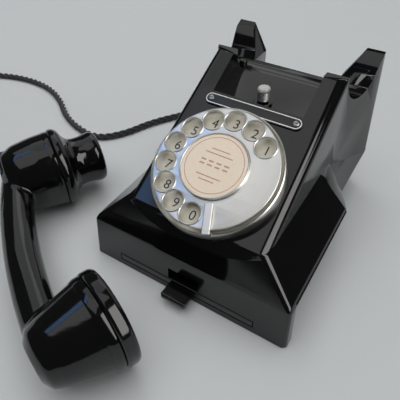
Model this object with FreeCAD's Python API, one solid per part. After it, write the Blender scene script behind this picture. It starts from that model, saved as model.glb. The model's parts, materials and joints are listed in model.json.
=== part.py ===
import FreeCAD, Part
import math
import os

from FreeCAD import Placement, Rotation, Vector

# Case, millimetres: the front plate, the lip round the case and the side walls set in under it
BASE_HALF = 72.0
PLINTH_HALF = 70.0
SKIRT_HALF = 65.0
REAR_HALF = 60.5
REAR_SKIRT_HALF = 55.0
FRONT_Y = -85.0
REAR_Y = 85.0
PLATE_LEAN = 2.5
PLATE_DEPTH = 11.0
STEP_Y = 10.0
STEP_RUN = 17.0
SKIRT_Z = 0.5
LIP = 3.0
PLINTH_Z = 33.0
APRON_Z = 55.0
WALL = 3.0

# Wedge over the plinth: the dial panel's edges, the cheeks beside the deck and the rear tines
WEDGE_HALF = 47.5
PANEL_FRONT_Y = -71.0
PANEL_BOW = 6.5
EDGE_R = 6.0
CHEEK_HALF = 45.0
CHEEK_IN = 31.0
CHEEK_Y = 30.0
DECK_Z = 91.0
DECK_Y = 4.0
TINE_Z = 111.0
TINE_IN = 43.0
TINE_OUT = 54.0

# Dial panel: a point on it under the dial's axis, and its slope
PANEL_TILT = 28.8
PANEL_Y = -41.0
PANEL_Z = 71.2

# Cradle saddle, its plungers and the switch that they work
SADDLE_R = 19.5
SADDLE_Y = 55.5
SADDLE_FLOOR = 90.0
PLUNGER_X = 36.0
PLUNGER_R = 3.0
LEVER_Y = 36.0
LEVER_Z = 75.0
LEVER_X0 = 12.0
LEVER_X1 = 17.0
PIN_R = 1.5
SHELF_Z = 62.0

# Dial
WHEEL_R = 38.0
HOLE_R = 6.3
HOLE_PITCH_R = 30.7
HOLE_COUNT = 10
HOLE_FIRST = 43.3
HOLE_STEP = 25.2
STOP_ANGLE = 291.0
STOP_HALF = 2.4
DIAL_HOLE_R = 35.6
DIAL_CASE_R = 35.3
FLANGE_R = 40.5
DIAL_DEPTH = 22.0
SHAFT_R = 4.0
WHEEL_Z = 10.0
WHEEL_TOP = 11.4
HUB_Z = 7.2
NUMBER_Z = 5.5
CARD_R = 19.7
CARD_Z = 12.6
GEAR_MODULE = 0.6
GEAR_TEETH = 64
PINION_TEETH = 16
GOVERNOR_R = 1.5
PRESSURE = math.radians(20.0)
BACKLASH = 0.16
RUN_GAP = 0.05

# Label plate on the panel, call button on the deck, cord outlet at the back
LABEL_HALF = 33.0
LABEL_S = 45.6
LABEL_H = 8.0
LABEL_T = 1.2
LABEL_SCREW_X = 29.0
BUTTON_Y = 14.0
BUTTON_R = 5.0
BUTTON_TOP = 103.0
STEM_R = 2.5
GROMMET_X = -35.0
GROMMET_Z = 8.5
GROMMET_R = 6.0

# Base, chassis and drawer
SCREW_PLACES = [(57.5, -70.0), (47.5, 70.0)]
SCREW_R = 1.5
PLATE_Z = 1.5
PLATE_TOP = 3.0
CHASSIS_Z = 11.2
CHASSIS_TOP = 12.7
TRAY_HALF = 49.5
TRAY_Z0 = 5.4
TRAY_Z1 = 10.6
TRAY_FLOOR = 0.8
TRAY_BACK = 36.0
TRAY_FRONT = -84.6
TRAY_WALL = 2.0
PULL_HALF = 9.0
PULL_REACH = 12.0
NOTCH_HALF = 11.0
NOTCH_Z = 20.0

# Bell
GONG_X = 24.0
GONG_Y = 22.0
BELL_PIVOT_Y = 44.0
COIL_PAIR_X = 14.0
COIL_PAIR_Y = 47.0

# Handset, lying on the desk on the rims of its two caps
HANDSET_AT = Vector(-71.0, -88.3, 29.0)
HANDSET_TURN = -35.5
HEAD_U = 70.5
EAR_TILT = 14.5
MOUTH_TILT = 5.5
CAP_R = 29.0
CUP_R = 28.0
CAPSULE_R = 21.0
HANDLE_R = 11.0
HANDLE_END_V = -37.5
HANDLE_MIDDLE_V = -43.0
GLAND_U = -84.0
GLAND_V = -52.0
GLAND_W = 10.0
GLAND_R = 4.5
GLAND_LENGTH = 16.0

# Cord
CORD_R = 3.0
CORD_Z = 3.2
COIL_AT = Vector(-378.0, -52.0, 0.0)
COIL_IN = 23.0
COIL_OUT = 41.6
COIL_H = 12.4
TIE_T = 1.2
TIE_HALF = 4.0
TIE_ANGLE = 25.0

FAR = 150.0
PANEL = Placement(Vector(0, PANEL_Y, PANEL_Z), Rotation(Vector(1, 0, 0), PANEL_TILT))
HANDSET = Placement(HANDSET_AT, Rotation(Vector(0, 0, 1), HANDSET_TURN))


def box(x0, x1, y0, y1, z0, z1):
    return Part.makeBox(x1 - x0, y1 - y0, z1 - z0, Vector(x0, y0, z0))


def rod(r, z0, z1, x=0.0, y=0.0):
    return Part.makeCylinder(r, z1 - z0, Vector(x, y, z0))


def rod_x(r, x0, x1, y, z):
    return Part.makeCylinder(r, x1 - x0, Vector(x0, y, z), Vector(1, 0, 0))


def rod_y(r, y0, y1, x, z):
    return Part.makeCylinder(r, y1 - y0, Vector(x, y0, z), Vector(0, 1, 0))


def ring(r0, r1, z0, z1, x=0.0, y=0.0):
    return rod(r1, z0, z1, x, y).cut(rod(r0, z0 - 1, z1 + 1, x, y))


def fuse(shapes):
    body = shapes[0]
    for shape in shapes[1:]:
        body = body.fuse(shape)
    return body.removeSplitter()


def both(shape):
    return [shape, shape.mirror(Vector(0, 0, 0), Vector(1, 0, 0))]


def prism_yz(points, x0, x1):
    """Side outline in Y and Z, drawn out along X."""
    wire = Part.makePolygon([Vector(x0, y, z) for y, z in points + points[:1]])
    return Part.Face(wire).extrude(Vector(x1 - x0, 0, 0))


def prism_xz(half, y0, y1):
    """Front outline in X and Z, given for the right half, drawn out along Y."""
    points = half + [(-x, z) for x, z in reversed(half)]
    wire = Part.makePolygon([Vector(x, y0, z) for x, z in points + points[:1]])
    return Part.Face(wire).extrude(Vector(0, y1 - y0, 0))


def plan(half, z):
    """Outline seen from above at one height, given for the right half."""
    points = half + [(-x, y) for x, y in reversed(half)]
    return Part.makePolygon([Vector(x, y, z) for x, y in points + points[:1]])


def turned(points):
    """Half outline in radius and height, turned about Z."""
    wire = Part.makePolygon([Vector(r, 0, z) for r, z in points + points[:1]])
    return Part.Face(wire).revolve(Vector(0, 0, 0), Vector(0, 0, 1), 360)


def loft(wires):
    return Part.makeLoft(wires, True, True)


def placed(shape, place):
    """A copy of a shape moved from a piece's own axes to its place."""
    moved = shape.copy()
    moved.Placement = place.multiply(shape.Placement)
    return moved


def panel_height(y, drop):
    """Height of the dial panel at y, for a skin set in by drop."""
    slope = math.radians(PANEL_TILT)
    return PANEL_Z + math.tan(slope) * (y - PANEL_Y) - drop / math.cos(slope)


def plinth_solid(inset, z0):
    """Front plate and side walls, and the apron that slopes up from the lip to the wedge."""
    top = PLINTH_Z - inset / 2
    front = FRONT_Y + PLATE_LEAN + inset
    rear = REAR_Y - 1 - inset

    def fore(half, rear_half, y0, z):
        return plan([(half - inset, y0), (half - inset, STEP_Y - inset),
                     (rear_half - inset, STEP_Y + STEP_RUN - inset)], z)

    def aft(half, y1, z):
        return plan([(half - inset, PANEL_FRONT_Y + WALL), (half - inset, y1)], z)

    parts = [
        loft([fore(SKIRT_HALF, REAR_SKIRT_HALF, front, z0), fore(SKIRT_HALF, REAR_SKIRT_HALF, front, top)]),
        loft([fore(PLINTH_HALF, REAR_HALF, front, top),
              fore(WEDGE_HALF, WEDGE_HALF - 1, PANEL_FRONT_Y + inset, APRON_Z - inset / 2)]),
        loft([aft(REAR_SKIRT_HALF, rear, z0), aft(REAR_SKIRT_HALF, rear, top)]),
        loft([aft(REAR_HALF, rear, top), aft(WEDGE_HALF, rear - 5, APRON_Z - 10 - inset / 2)]),
    ]
    if not inset:
        low = PLINTH_Z - LIP
        back = FRONT_Y + PLATE_DEPTH
        parts += [
            loft([plan([(BASE_HALF, FRONT_Y), (BASE_HALF, back)], z0),
                  plan([(PLINTH_HALF, front), (PLINTH_HALF, back)], PLINTH_Z)]),
            loft([fore(PLINTH_HALF, REAR_HALF, front, low), fore(PLINTH_HALF, REAR_HALF, front, PLINTH_Z)]),
            loft([aft(REAR_HALF, rear, low), aft(REAR_HALF, rear, PLINTH_Z)]),
        ]
    return fuse(parts)


def wedge_block(inset, crest_y):
    """Wedge that carries the dial panel, up to the crest of its cheeks or deck."""
    low = PLINTH_Z - 8
    front = PANEL_FRONT_Y + inset - PANEL_BOW
    rear = REAR_Y - 5 - inset
    top = panel_height(crest_y, inset)
    side = prism_yz([(front, low), (front, panel_height(front, inset)), (crest_y, top), (crest_y + 5, top),
                     (crest_y + 7, DECK_Z - inset), (rear - 14, DECK_Z - inset), (rear, APRON_Z),
                     (rear, low)], -BASE_HALF, BASE_HALF)
    flanks = [(WEDGE_HALF + 1.3 - inset, low), (CHEEK_HALF - inset, TINE_Z)]
    return side.common(prism_xz(flanks, FRONT_Y, REAR_Y))


def bowed(wedge, inset):
    """The wedge with its front drawn to the bow of the panel's lower edge."""
    half = WEDGE_HALF + 3
    y0 = PANEL_FRONT_Y + inset
    arc = Part.Arc(Vector(-half, y0, 0), Vector(0, y0 - PANEL_BOW, 0), Vector(half, y0, 0)).toShape()
    back = Part.makePolygon([Vector(half, y0, 0), Vector(half, REAR_Y, 0), Vector(-half, REAR_Y, 0),
                             Vector(-half, y0, 0)])
    return wedge.common(Part.Face(Part.Wire([arc] + back.Edges)).extrude(Vector(0, 0, FAR)))


def rounded_wedge():
    """The outer wedge, with the long edges of its panel rounded."""
    wedge = wedge_block(0, CHEEK_Y)

    def on_edge(edge):
        middle = edge.CenterOfMass
        return (edge.Length > PLINTH_HALF and abs(middle.x) > CHEEK_IN
                and abs(middle.z - panel_height(middle.y, 0)) < RUN_GAP)

    return bowed(wedge.makeFillet(EDGE_R, [edge for edge in wedge.Edges if on_edge(edge)]), 0)


def ear_solid():
    """Wing at the rear right corner that carries one end of the cradle."""
    def outline(z, front, outer):
        points = [(CHEEK_IN, CHEEK_Y), (front, CHEEK_Y + 4), (outer, 79), (outer, REAR_Y - 1),
                  (CHEEK_IN, REAR_Y - 1)]
        return Part.makePolygon([Vector(x, y, z) for x, y in points + points[:1]])
    return loft([outline(PLINTH_Z - LIP, WEDGE_HALF, REAR_HALF), outline(TINE_Z, CHEEK_HALF, TINE_OUT)])


def cradle_space():
    """What is cut away above the deck: the well, the saddle and the slope of the tines."""
    axis_z = SADDLE_FLOOR + SADDLE_R
    well = box(-CHEEK_IN, CHEEK_IN, DECK_Y, SADDLE_Y, DECK_Z, FAR)
    rear_well = prism_xz([(CHEEK_IN, DECK_Z), (TINE_IN, TINE_Z + 1), (TINE_IN, FAR)], SADDLE_Y, REAR_Y + 5)
    saddle = rod_x(SADDLE_R, -BASE_HALF, BASE_HALF, SADDLE_Y, axis_z)
    ramp = prism_yz([(SADDLE_Y, axis_z), (SADDLE_Y - SADDLE_R, axis_z), (SADDLE_Y - SADDLE_R, FAR),
                     (REAR_Y + 5, FAR), (REAR_Y + 1.5, TINE_Z + 0.5), (77, TINE_Z - 4.5),
                     (71.2, TINE_Z - 12.6)], -BASE_HALF, BASE_HALF)
    return fuse([well, rear_well, saddle, ramp])


def screw_places():
    return [(side * x, y) for x, y in SCREW_PLACES for side in (1, -1)]


def make_case():
    outer = fuse([plinth_solid(0, SKIRT_Z), rounded_wedge()] + both(ear_solid()))
    inner = fuse([plinth_solid(WALL, SKIRT_Z - 1), bowed(wedge_block(WALL, DECK_Y - WALL - 5), WALL)])
    shell = outer.cut(cradle_space()).cut(inner)

    # Screw bosses in the four corners and a backing for the finger notch
    bosses = [box(x - 5, x + 5, y - 4, y + 4, PLATE_TOP, PLINTH_Z - LIP) for x, y in screw_places()]
    backing = box(-NOTCH_HALF - 3, NOTCH_HALF + 3, FRONT_Y + 2.4, FRONT_Y + 9.5, CHASSIS_Z, NOTCH_Z + 4)
    shell = fuse([shell] + bosses + [backing])
    slit = TRAY_HALF + 0.6
    cuts = [box(-slit, slit, FRONT_Y - 2, FRONT_Y + PLATE_DEPTH + 1, TRAY_Z0 - 0.5, TRAY_Z1 + 0.5),
            box(-NOTCH_HALF, NOTCH_HALF, FRONT_Y - 5, FRONT_Y + 6.5, TRAY_Z1 + 0.4, NOTCH_Z),
            rod(BUTTON_R, DECK_Z - 11, DECK_Z + 4, 0, BUTTON_Y),
            rod_y(GROMMET_R, REAR_Y - 10, REAR_Y + 4, GROMMET_X, GROMMET_Z),
            placed(rod(DIAL_HOLE_R, -12, 3), PANEL)]
    cuts += [rod(SCREW_R + 0.1, 0, 15, x, y) for x, y in screw_places()]
    bore = PLUNGER_R + RUN_GAP
    cuts += [rod(bore, SHELF_Z, SADDLE_FLOOR + 5, x, SADDLE_Y) for x in (-PLUNGER_X, PLUNGER_X)]
    cuts += [placed(rod(1.3, -6, 2, x, LABEL_S), PANEL) for x in (-LABEL_SCREW_X, LABEL_SCREW_X)]
    return shell.cut(fuse(cuts))


def make_base():
    fore = SKIRT_HALF - WALL - 0.5
    aft = REAR_SKIRT_HALF - WALL - 0.5
    plate = fuse([box(-fore, fore, FRONT_Y + 6, STEP_Y - 4, PLATE_Z, PLATE_TOP),
                  box(-aft, aft, STEP_Y - 4, REAR_Y - 5, PLATE_Z, PLATE_TOP)])
    pad = fuse([box(-fore + 1, fore - 1, FRONT_Y + 7, STEP_Y - 5, 0, PLATE_Z),
                box(-aft + 1, aft - 1, STEP_Y - 5, REAR_Y - 6, 0, PLATE_Z)])
    screws = []
    for x, y in screw_places():
        plate = plate.cut(rod(SCREW_R + 0.1, 0, PLATE_TOP + 1, x, y))
        pad = pad.cut(rod(4, -1, PLATE_TOP, x, y))
        screws.append(fuse([rod(3, 0.3, PLATE_Z, x, y), rod(SCREW_R, PLATE_Z, 14, x, y)]))
    front = FRONT_Y + PLATE_DEPTH
    half = TRAY_HALF + 1.7
    runner = box(TRAY_HALF + 0.4, half, front, TRAY_BACK + 4, PLATE_TOP, CHASSIS_Z)
    chassis = fuse([box(-half, half, front, SADDLE_Y + 8.5, CHASSIS_Z, CHASSIS_TOP)] + both(runner))
    return {"base_plate": plate, "base_pad": pad, "case_screws": Part.makeCompound(screws),
            "chassis_plate": chassis}


def make_drawer():
    tray = box(-TRAY_HALF, TRAY_HALF, TRAY_FRONT, TRAY_BACK, TRAY_Z0, TRAY_Z1)
    inside = TRAY_HALF - TRAY_WALL
    tray = tray.cut(box(-inside, inside, TRAY_FRONT + 3.5, TRAY_BACK - TRAY_WALL,
                        TRAY_Z0 + TRAY_FLOOR, TRAY_Z1 + 1))
    pull = box(-PULL_HALF, PULL_HALF, TRAY_FRONT - PULL_REACH, TRAY_FRONT, TRAY_Z0, TRAY_Z1 - 0.8)
    pull = pull.makeFillet(1.5, [edge for edge in pull.Edges if edge.BoundBox.YMax < TRAY_FRONT - 1])
    return {"drawer_tray": tray, "drawer_pull": pull}


def gear(module, teeth, bore, z0, z1, turn):
    """Spur gear with involute flanks, a little thin for backlash."""
    pitch = module * teeth / 2
    base = pitch * math.cos(PRESSURE)
    tip = pitch + 0.85 * module
    root = pitch - 1.15 * module
    half = (math.pi * module / 2 - BACKLASH) / 2 / pitch
    flank_turn = half + math.tan(PRESSURE) - PRESSURE

    def flank(r):
        tangent = math.sqrt(max((r / base) ** 2 - 1, 0))
        return flank_turn - (tangent - math.atan(tangent))

    start = max(base, root)
    radii = [start + (tip - start) * i / 4 for i in range(5)]
    points = []
    for tooth in range(teeth):
        middle = 2 * math.pi * tooth / teeth + turn
        side = [(r, flank(r)) for r in radii]
        if root < start:
            side.insert(0, (root, flank(start)))
        for r, a in [(r, -a) for r, a in side] + side[::-1]:
            points.append(Vector(r * math.cos(middle + a), r * math.sin(middle + a), z0))
    outline = Part.Face(Part.makePolygon(points + points[:1]))
    return outline.extrude(Vector(0, 0, z1 - z0)).cut(rod(bore, z0 - 1, z1 + 1))


def dial_face():
    """Pieces on the panel: dial case, number ring, finger wheel, centre and finger stop."""
    inside = DIAL_CASE_R - 1.8
    lip = FLANGE_R - 1.4
    case = turned([(inside, -DIAL_DEPTH), (DIAL_CASE_R, -DIAL_DEPTH), (DIAL_CASE_R, 0), (FLANGE_R, 0),
                   (FLANGE_R, 9), (lip, 9), (lip, NUMBER_Z), (DIAL_CASE_R + 0.7, NUMBER_Z),
                   (DIAL_CASE_R + 0.7, 2.5), (inside, 2.5)])
    wheel = fuse([rod(WHEEL_R, WHEEL_Z, WHEEL_TOP), rod(2 * SHAFT_R, HUB_Z, WHEEL_Z)])
    for i in range(HOLE_COUNT):
        angle = math.radians(HOLE_FIRST + HOLE_STEP * i)
        wheel = wheel.cut(rod(HOLE_R, WHEEL_Z - 1, WHEEL_TOP + 1, HOLE_PITCH_R * math.cos(angle),
                              HOLE_PITCH_R * math.sin(angle)))
    stop = fuse([box(23, FLANGE_R + 0.8, -STOP_HALF, STOP_HALF, 12.2, 13.8),
                 box(FLANGE_R - 1.8, FLANGE_R + 0.8, -STOP_HALF, STOP_HALF, 9, 13.8)])
    stop.rotate(Vector(0, 0, 0), Vector(0, 0, 1), STOP_ANGLE)
    rim = turned([(18.5, WHEEL_TOP), (21, WHEEL_TOP), (21, 13.8), (CARD_R + 0.1, 13.8),
                  (CARD_R + 0.1, CARD_Z), (18.5, CARD_Z)])
    return {"dial_case": case, "number_ring": ring(9, FLANGE_R - 1.5, NUMBER_Z, NUMBER_Z + 1),
            "finger_wheel": wheel.cut(rod(SHAFT_R / 2, 5, 15)),
            "wheel_screw": fuse([rod(SHAFT_R / 2 - 0.1, 2, WHEEL_TOP), rod(3.6, WHEEL_TOP, WHEEL_TOP + 1)]),
            "centre_ring": rim, "centre_card": rod(CARD_R, CARD_Z, CARD_Z + 0.4),
            "card_window": rod(CARD_R, CARD_Z + 0.4, CARD_Z + 1.1), "finger_stop": stop}


def dial_works():
    """Pieces behind the panel: shaft, gears, pulse cam and springs, bridge and governor."""
    apart = GEAR_MODULE * (GEAR_TEETH + PINION_TEETH) / 2
    inside = DIAL_CASE_R - 1.8
    cam = ring(SHAFT_R, 9, -8, -6)
    for x in (7.4, -12.0):
        cam = cam.cut(box(x, x + 4.6, -2, 2, -9, -5))
    bridge = rod(DIAL_CASE_R, -DIAL_DEPTH - 2, -DIAL_DEPTH)
    bridge = bridge.cut(rod(SHAFT_R + RUN_GAP, -FAR, 0)).cut(rod(GOVERNOR_R + RUN_GAP, -FAR, 0, apart, 0))
    blades = [box(x, x + 0.5, -10, 10, -9, -5) for x in (-11.2, -13.0)]
    block = box(-34, -10, -16, -10, -10, -4).common(rod(inside, -12, 0))

    pinion = gear(GEAR_MODULE, PINION_TEETH, 1.0, -13.4, -10.6, math.pi + math.pi / PINION_TEETH)
    shaft = fuse([pinion, rod(GOVERNOR_R, -23, -13.4), rod(GOVERNOR_R, -10.6, -3.7), rod(1.2, -14, -10)])
    weights = fuse([box(-6.6, 6.6, -1.2, 1.2, -7.6, -6.2), rod(2.6, -7.6, -6.2)]
                   + [rod(1.9, -8.4, -5.4, x, 0) for x in (-4.9, 4.9)]).cut(rod(GOVERNOR_R, -10, 0))
    cup = fuse([ring(7.4, 8.4, -9, -4.5), ring(GOVERNOR_R + RUN_GAP, 8.4, -4.5, -3.5)])
    for shape in (shaft, weights, cup):
        shape.translate(Vector(apart, 0, 0))
    foot = box(apart + 8, 34, -3, 3, -4.5, -3.5).common(rod(inside, -12, 0))
    return {"dial_shaft": rod(SHAFT_R, -DIAL_DEPTH - 3, HUB_Z).cut(rod(SHAFT_R / 2, 1, 9)),
            "main_gear": gear(GEAR_MODULE, GEAR_TEETH, SHAFT_R, -13, -11, 0), "pulse_cam": cam,
            "dial_bridge": bridge, "mainspring": ring(8, 14, -DIAL_DEPTH, -16),
            "pulse_springs": fuse(blades + [block]), "governor_shaft": shaft, "governor_weights": weights,
            "governor_cup": fuse([cup, foot.cut(rod(8, -10, 0, apart, 0))])}


def label_pieces():
    """Bare label plate above the dial and its two screws."""
    r = LABEL_H / 2
    plate = fuse([box(-LABEL_HALF + r, LABEL_HALF - r, LABEL_S - r, LABEL_S + r, 0, LABEL_T)]
                 + [rod(r, 0, LABEL_T, x, LABEL_S) for x in (-LABEL_HALF + r, LABEL_HALF - r)])
    screws = []
    for x in (-LABEL_SCREW_X, LABEL_SCREW_X):
        plate = plate.cut(rod(1.3, -1, 3, x, LABEL_S))
        screws.append(fuse([rod(1.9, LABEL_T, LABEL_T + 0.6, x, LABEL_S), rod(1.2, -5, LABEL_T, x, LABEL_S)]))
    return {"label_plate": plate, "label_screws": Part.makeCompound(screws)}


def make_dial():
    parts = {**dial_face(), **dial_works(), **label_pieces()}
    return {name: placed(shape, PANEL) for name, shape in parts.items()}


def make_button():
    y = BUTTON_Y
    bore = STEM_R + RUN_GAP
    head_z = BUTTON_TOP - 3.5
    collar_z = DECK_Z + 1.6
    contact_z = 74.0
    cap = fuse([rod(BUTTON_R, head_z, BUTTON_TOP, 0, y), rod(STEM_R, contact_z + 6, head_z, 0, y)])
    bush = fuse([ring(bore, BUTTON_R, DECK_Z - 4, DECK_Z, 0, y),
                 ring(bore, BUTTON_R + 1.2, DECK_Z, collar_z, 0, y)])
    contacts = fuse([box(6, 12, y - 6, y + 6, contact_z, DECK_Z - WALL),
                     box(-3, 6, y - 2, y + 2, contact_z, contact_z + 0.6)])
    return {"call_button": cap, "button_bush": bush, "button_contacts": contacts,
            "button_spring": ring(STEM_R + 0.3, STEM_R + 1.3, collar_z, head_z, 0, y)}


def make_cradle():
    y = SADDLE_Y
    wall_y = y + 5.0
    wall_top = 71.0
    bar_z = 77.0
    bar_top = 80.0
    plungers = [rod(PLUNGER_R, bar_top, SADDLE_FLOOR + 4.5, x, y) for x in (-PLUNGER_X, PLUNGER_X)]
    wall = box(-10, 20.5, wall_y, wall_y + WALL, CHASSIS_TOP, wall_top)
    shelf = box(-10, 6, y - 5.5, wall_y, SHELF_Z - 2, SHELF_Z)
    cheek = [(LEVER_Y - 4, SHELF_Z - 2), (wall_y, SHELF_Z - 2), (wall_y, wall_top), (LEVER_Y + 5, wall_top),
             (LEVER_Y + 5, LEVER_Z + 4), (LEVER_Y - 4, LEVER_Z + 4)]
    frame = fuse([wall, shelf, prism_yz(cheek, 8.5, 10.5), prism_yz(cheek, 18.5, 20.5)])
    pin = rod_x(PIN_R, 8.5, 20.5, LEVER_Y, LEVER_Z)
    lever = fuse([box(LEVER_X0, LEVER_X1, LEVER_Y, y + 1.5, LEVER_Z - 1.4, LEVER_Z + 1.4),
                  rod_x(2 * PIN_R, LEVER_X0, LEVER_X1, LEVER_Y, LEVER_Z)])
    lever = lever.cut(rod_x(PIN_R + RUN_GAP, 5, 25, LEVER_Y, LEVER_Z))
    blades = [box(LEVER_X0, LEVER_X1, LEVER_Y + 8, wall_y, z, z + 0.6) for z in (62, 64, 66)]
    return {"cradle_plungers": Part.makeCompound(plungers),
            "plunger_bar": box(-PLUNGER_X - 3, PLUNGER_X + 3, y - 2.5, y + 2.5, bar_z, bar_top),
            "switch_bracket": frame.cut(pin), "switch_pin": pin, "switch_lever": lever,
            "switch_springs": Part.makeCompound(blades), "cradle_spring": ring(3, 4.4, SHELF_Z, bar_z, 0, y)}


def make_bell():
    bowl = turned([(0, 30), (10, 28.6), (15.5, 24), (17, 16), (15.8, 16), (14.4, 23.4), (9.4, 27.4),
                   (0, 28.8)])
    gongs = []
    posts = []
    for x in (-GONG_X, GONG_X):
        gong = bowl.copy()
        gong.translate(Vector(x, GONG_Y, 0))
        gongs.append(gong)
        posts.append(fuse([rod(2, CHASSIS_TOP, 26, x, GONG_Y), rod(1.2, 26, 28.6, x, GONG_Y)]))
    coils = [ring(2.5, 6, 14, 32, x, COIL_PAIR_Y) for x in (-COIL_PAIR_X, COIL_PAIR_X)]
    cores = [rod(2.5, CHASSIS_TOP, 34, x, COIL_PAIR_Y) for x in (-COIL_PAIR_X, COIL_PAIR_X)]
    yoke = fuse([box(-22, 22, 41, 52, 34, 36), rod(PIN_R, 21, 34, 0, BELL_PIVOT_Y)] + cores)
    bob = turned([(0, 17.4), (2.4, 18), (3.6, 20), (3.6, 22), (2.4, 24), (0, 24.6)])
    bob.translate(Vector(0, GONG_Y, 0))
    arm = fuse([box(-1.4, 1.4, GONG_Y, BELL_PIVOT_Y, 22.6, 25), rod(3.2, 22.6, 25, 0, BELL_PIVOT_Y), bob])
    return {"bell_gongs": Part.makeCompound(gongs), "gong_posts": Part.makeCompound(posts),
            "bell_coils": Part.makeCompound(coils), "bell_yoke": yoke,
            "bell_clapper": arm.cut(rod(PIN_R + RUN_GAP, 15, 40, 0, BELL_PIVOT_Y))}


def make_electrics():
    coil = rod_x(8, -18, 18, -12, 22)
    cheeks = [box(x, x + 2, -21, -3, CHASSIS_TOP, 31) for x in (-20, 18)]
    block = box(-48, -28, -50, -4, CHASSIS_TOP, 21)
    screws = [rod(2.2, 21, 22.6, x, y) for x in (-43, -33) for y in (-42, -27, -12)]
    return {"induction_coil": fuse([coil] + cheeks), "capacitor": box(26, 46, -34, -4, CHASSIS_TOP, 29),
            "terminal_block": block, "terminal_screws": Part.makeCompound(screws)}


def on_head(shape, end):
    """Place a turned head piece on the ear end (1) or the mouth end (-1) of the handset."""
    spin = Rotation(Vector(1, 0, 0), -90)
    tilt = Rotation(Vector(0, 0, 1), MOUTH_TILT if end < 0 else EAR_TILT)
    moved = shape.copy()
    moved.Placement = Placement(Vector(HEAD_U * end, 0, 0), tilt.multiply(spin))
    return moved


def make_handset():
    seat = -9.0
    floor = -20.0
    bore = CAPSULE_R + 0.4
    inside = [(CUP_R, seat), (bore, seat), (bore, floor), (0, floor)]
    ear_cup = turned([(0, -48), (11, -48), (17, -44.5), (20.5, -37), (24, -25), (27, -14)] + inside)
    mouth_cup = turned([(0, -48), (13, -48), (20.5, -44), (24.8, -36), (27.2, -22)] + inside)
    hollow = rod(bore, floor, 5)
    start = Vector(-HEAD_U, HANDLE_END_V, 0)
    arc = Part.Arc(start, Vector(0, HANDLE_MIDDLE_V, 0), Vector(HEAD_U, HANDLE_END_V, 0)).toShape()
    section = Part.Wire(Part.makeCircle(HANDLE_R, start, arc.tangentAt(arc.FirstParameter)))
    grip = Part.Wire(arc).makePipe(Part.Face(section))
    handle = fuse([grip, on_head(mouth_cup, -1), on_head(ear_cup, 1)])
    handle = handle.cut(on_head(hollow, -1)).cut(on_head(hollow, 1))
    gland = rod_y(GLAND_R, GLAND_V, GLAND_V + GLAND_LENGTH, GLAND_U, GLAND_W)
    capsule = turned([(0, floor + 1), (CAPSULE_R - 2.6, floor + 1), (CAPSULE_R, floor + 4),
                      (CAPSULE_R, seat - 0.4), (0, seat - 0.4)])
    foot = [(0, seat + 0.1), (CUP_R, seat + 0.1), (CAP_R, seat + 2)]
    ear = turned(foot + [(CAP_R, -2.5), (CAP_R - 2, 0), (CAP_R - 5.5, -0.8), (8, -5), (0, -5)])
    horn = turned(foot + [(CAP_R, -4), (CAP_R - 2, -1.5), (21.5, 1), (18.6, 4), (17.8, 8), (18, 13),
                          (19, 17.5), (19.4, 20.5), (18.4, 23.6), (16, 25), (13.6, 23.6), (12, 19),
                          (11, 6), (0, 5)])
    parts = {"handset_handle": handle.cut(gland), "handset_gland": gland, "ear_cap": on_head(ear, 1),
             "mouthpiece": on_head(horn, -1), "receiver_capsule": on_head(capsule, 1),
             "transmitter_capsule": on_head(capsule, -1)}
    return {name: placed(shape, HANDSET) for name, shape in parts.items()}


def cord_tube(points, name):
    """Round tube along straight runs joined by arcs as large as the runs allow."""
    edges = []
    radii = []
    last = points[0]
    for before, here, after in zip(points, points[1:], points[2:]):
        into = (here - before).normalize()
        out = (after - here).normalize()
        turn = into.getAngle(out)
        cut = 0.45 * min((here - before).Length, (after - here).Length)
        radius = cut / math.tan(turn / 2)
        start = here - into * cut
        end = here + out * cut
        inward = (out - into).normalize()
        middle = here + inward * (radius / math.cos(turn / 2) - radius)
        edges.append(Part.LineSegment(last, start).toShape())
        edges.append(Part.Arc(start, middle, end).toShape())
        radii.append(round(radius, 1))
        last = end
    edges.append(Part.LineSegment(last, points[-1]).toShape())
    path = Part.Wire(edges)
    face = Part.Face(Part.Wire(Part.makeCircle(CORD_R, points[0], points[1] - points[0])))
    tube = path.makePipe(face)
    print(name, "length", round(path.Length, 1), "radii", radii)
    print(name, "volume ratio", round(tube.Volume / (math.pi * CORD_R ** 2 * path.Length), 4))
    return tube


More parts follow.
